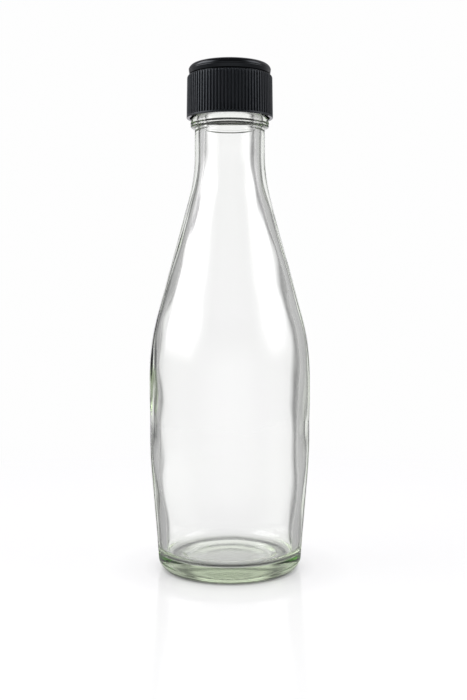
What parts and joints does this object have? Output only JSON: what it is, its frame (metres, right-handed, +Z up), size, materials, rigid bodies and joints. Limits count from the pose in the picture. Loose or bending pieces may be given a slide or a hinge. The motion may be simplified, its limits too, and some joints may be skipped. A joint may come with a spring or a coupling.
{
  "type": "glass soda bottle",
  "caption": "Small clear glass soda bottle with a tapered body, long shoulder and straight neck, closed by a ribbed black plastic screw cap with a foam liner.",
  "frame": {"origin": "centre of the ring that the bottle stands on, in the plane of the table", "axes": "+Z up along the bottle's axis, towards the cap; the bottle is round, so +X and +Y are free"},
  "size_m": [0.056, 0.056, 0.1747],
  "materials": {
    "glass": "clear flint glass with a faint green tint where it is thick",
    "cap_plastic": "black moulded plastic, glossy on the rounded top and satin on the ribbed skirt",
    "liner_foam": "off-white closed-cell foam with smooth skins"
  },
  "bodies": {
    "bottle": {"bottle": "glass"},
    "liner": {"liner": "liner_foam"},
    "cap": {"cap": "cap_plastic"}
  },
  "joints": [
    {"name": "cap_lift", "type": "slide", "parent": "bottle", "child": "liner", "axis": [0, 0, 1], "range_m": [0, 0.018]},
    {"name": "cap_turn", "type": "hinge", "parent": "liner", "child": "cap", "pos_m": [0, 0, 0.164], "axis": [0, 0, 1], "range_deg": [0, 2040]}
  ],
  "couplings": [
    {"joint": "cap_lift", "follows": "cap_turn", "m_per_rad": 0.00050532}
  ]
}
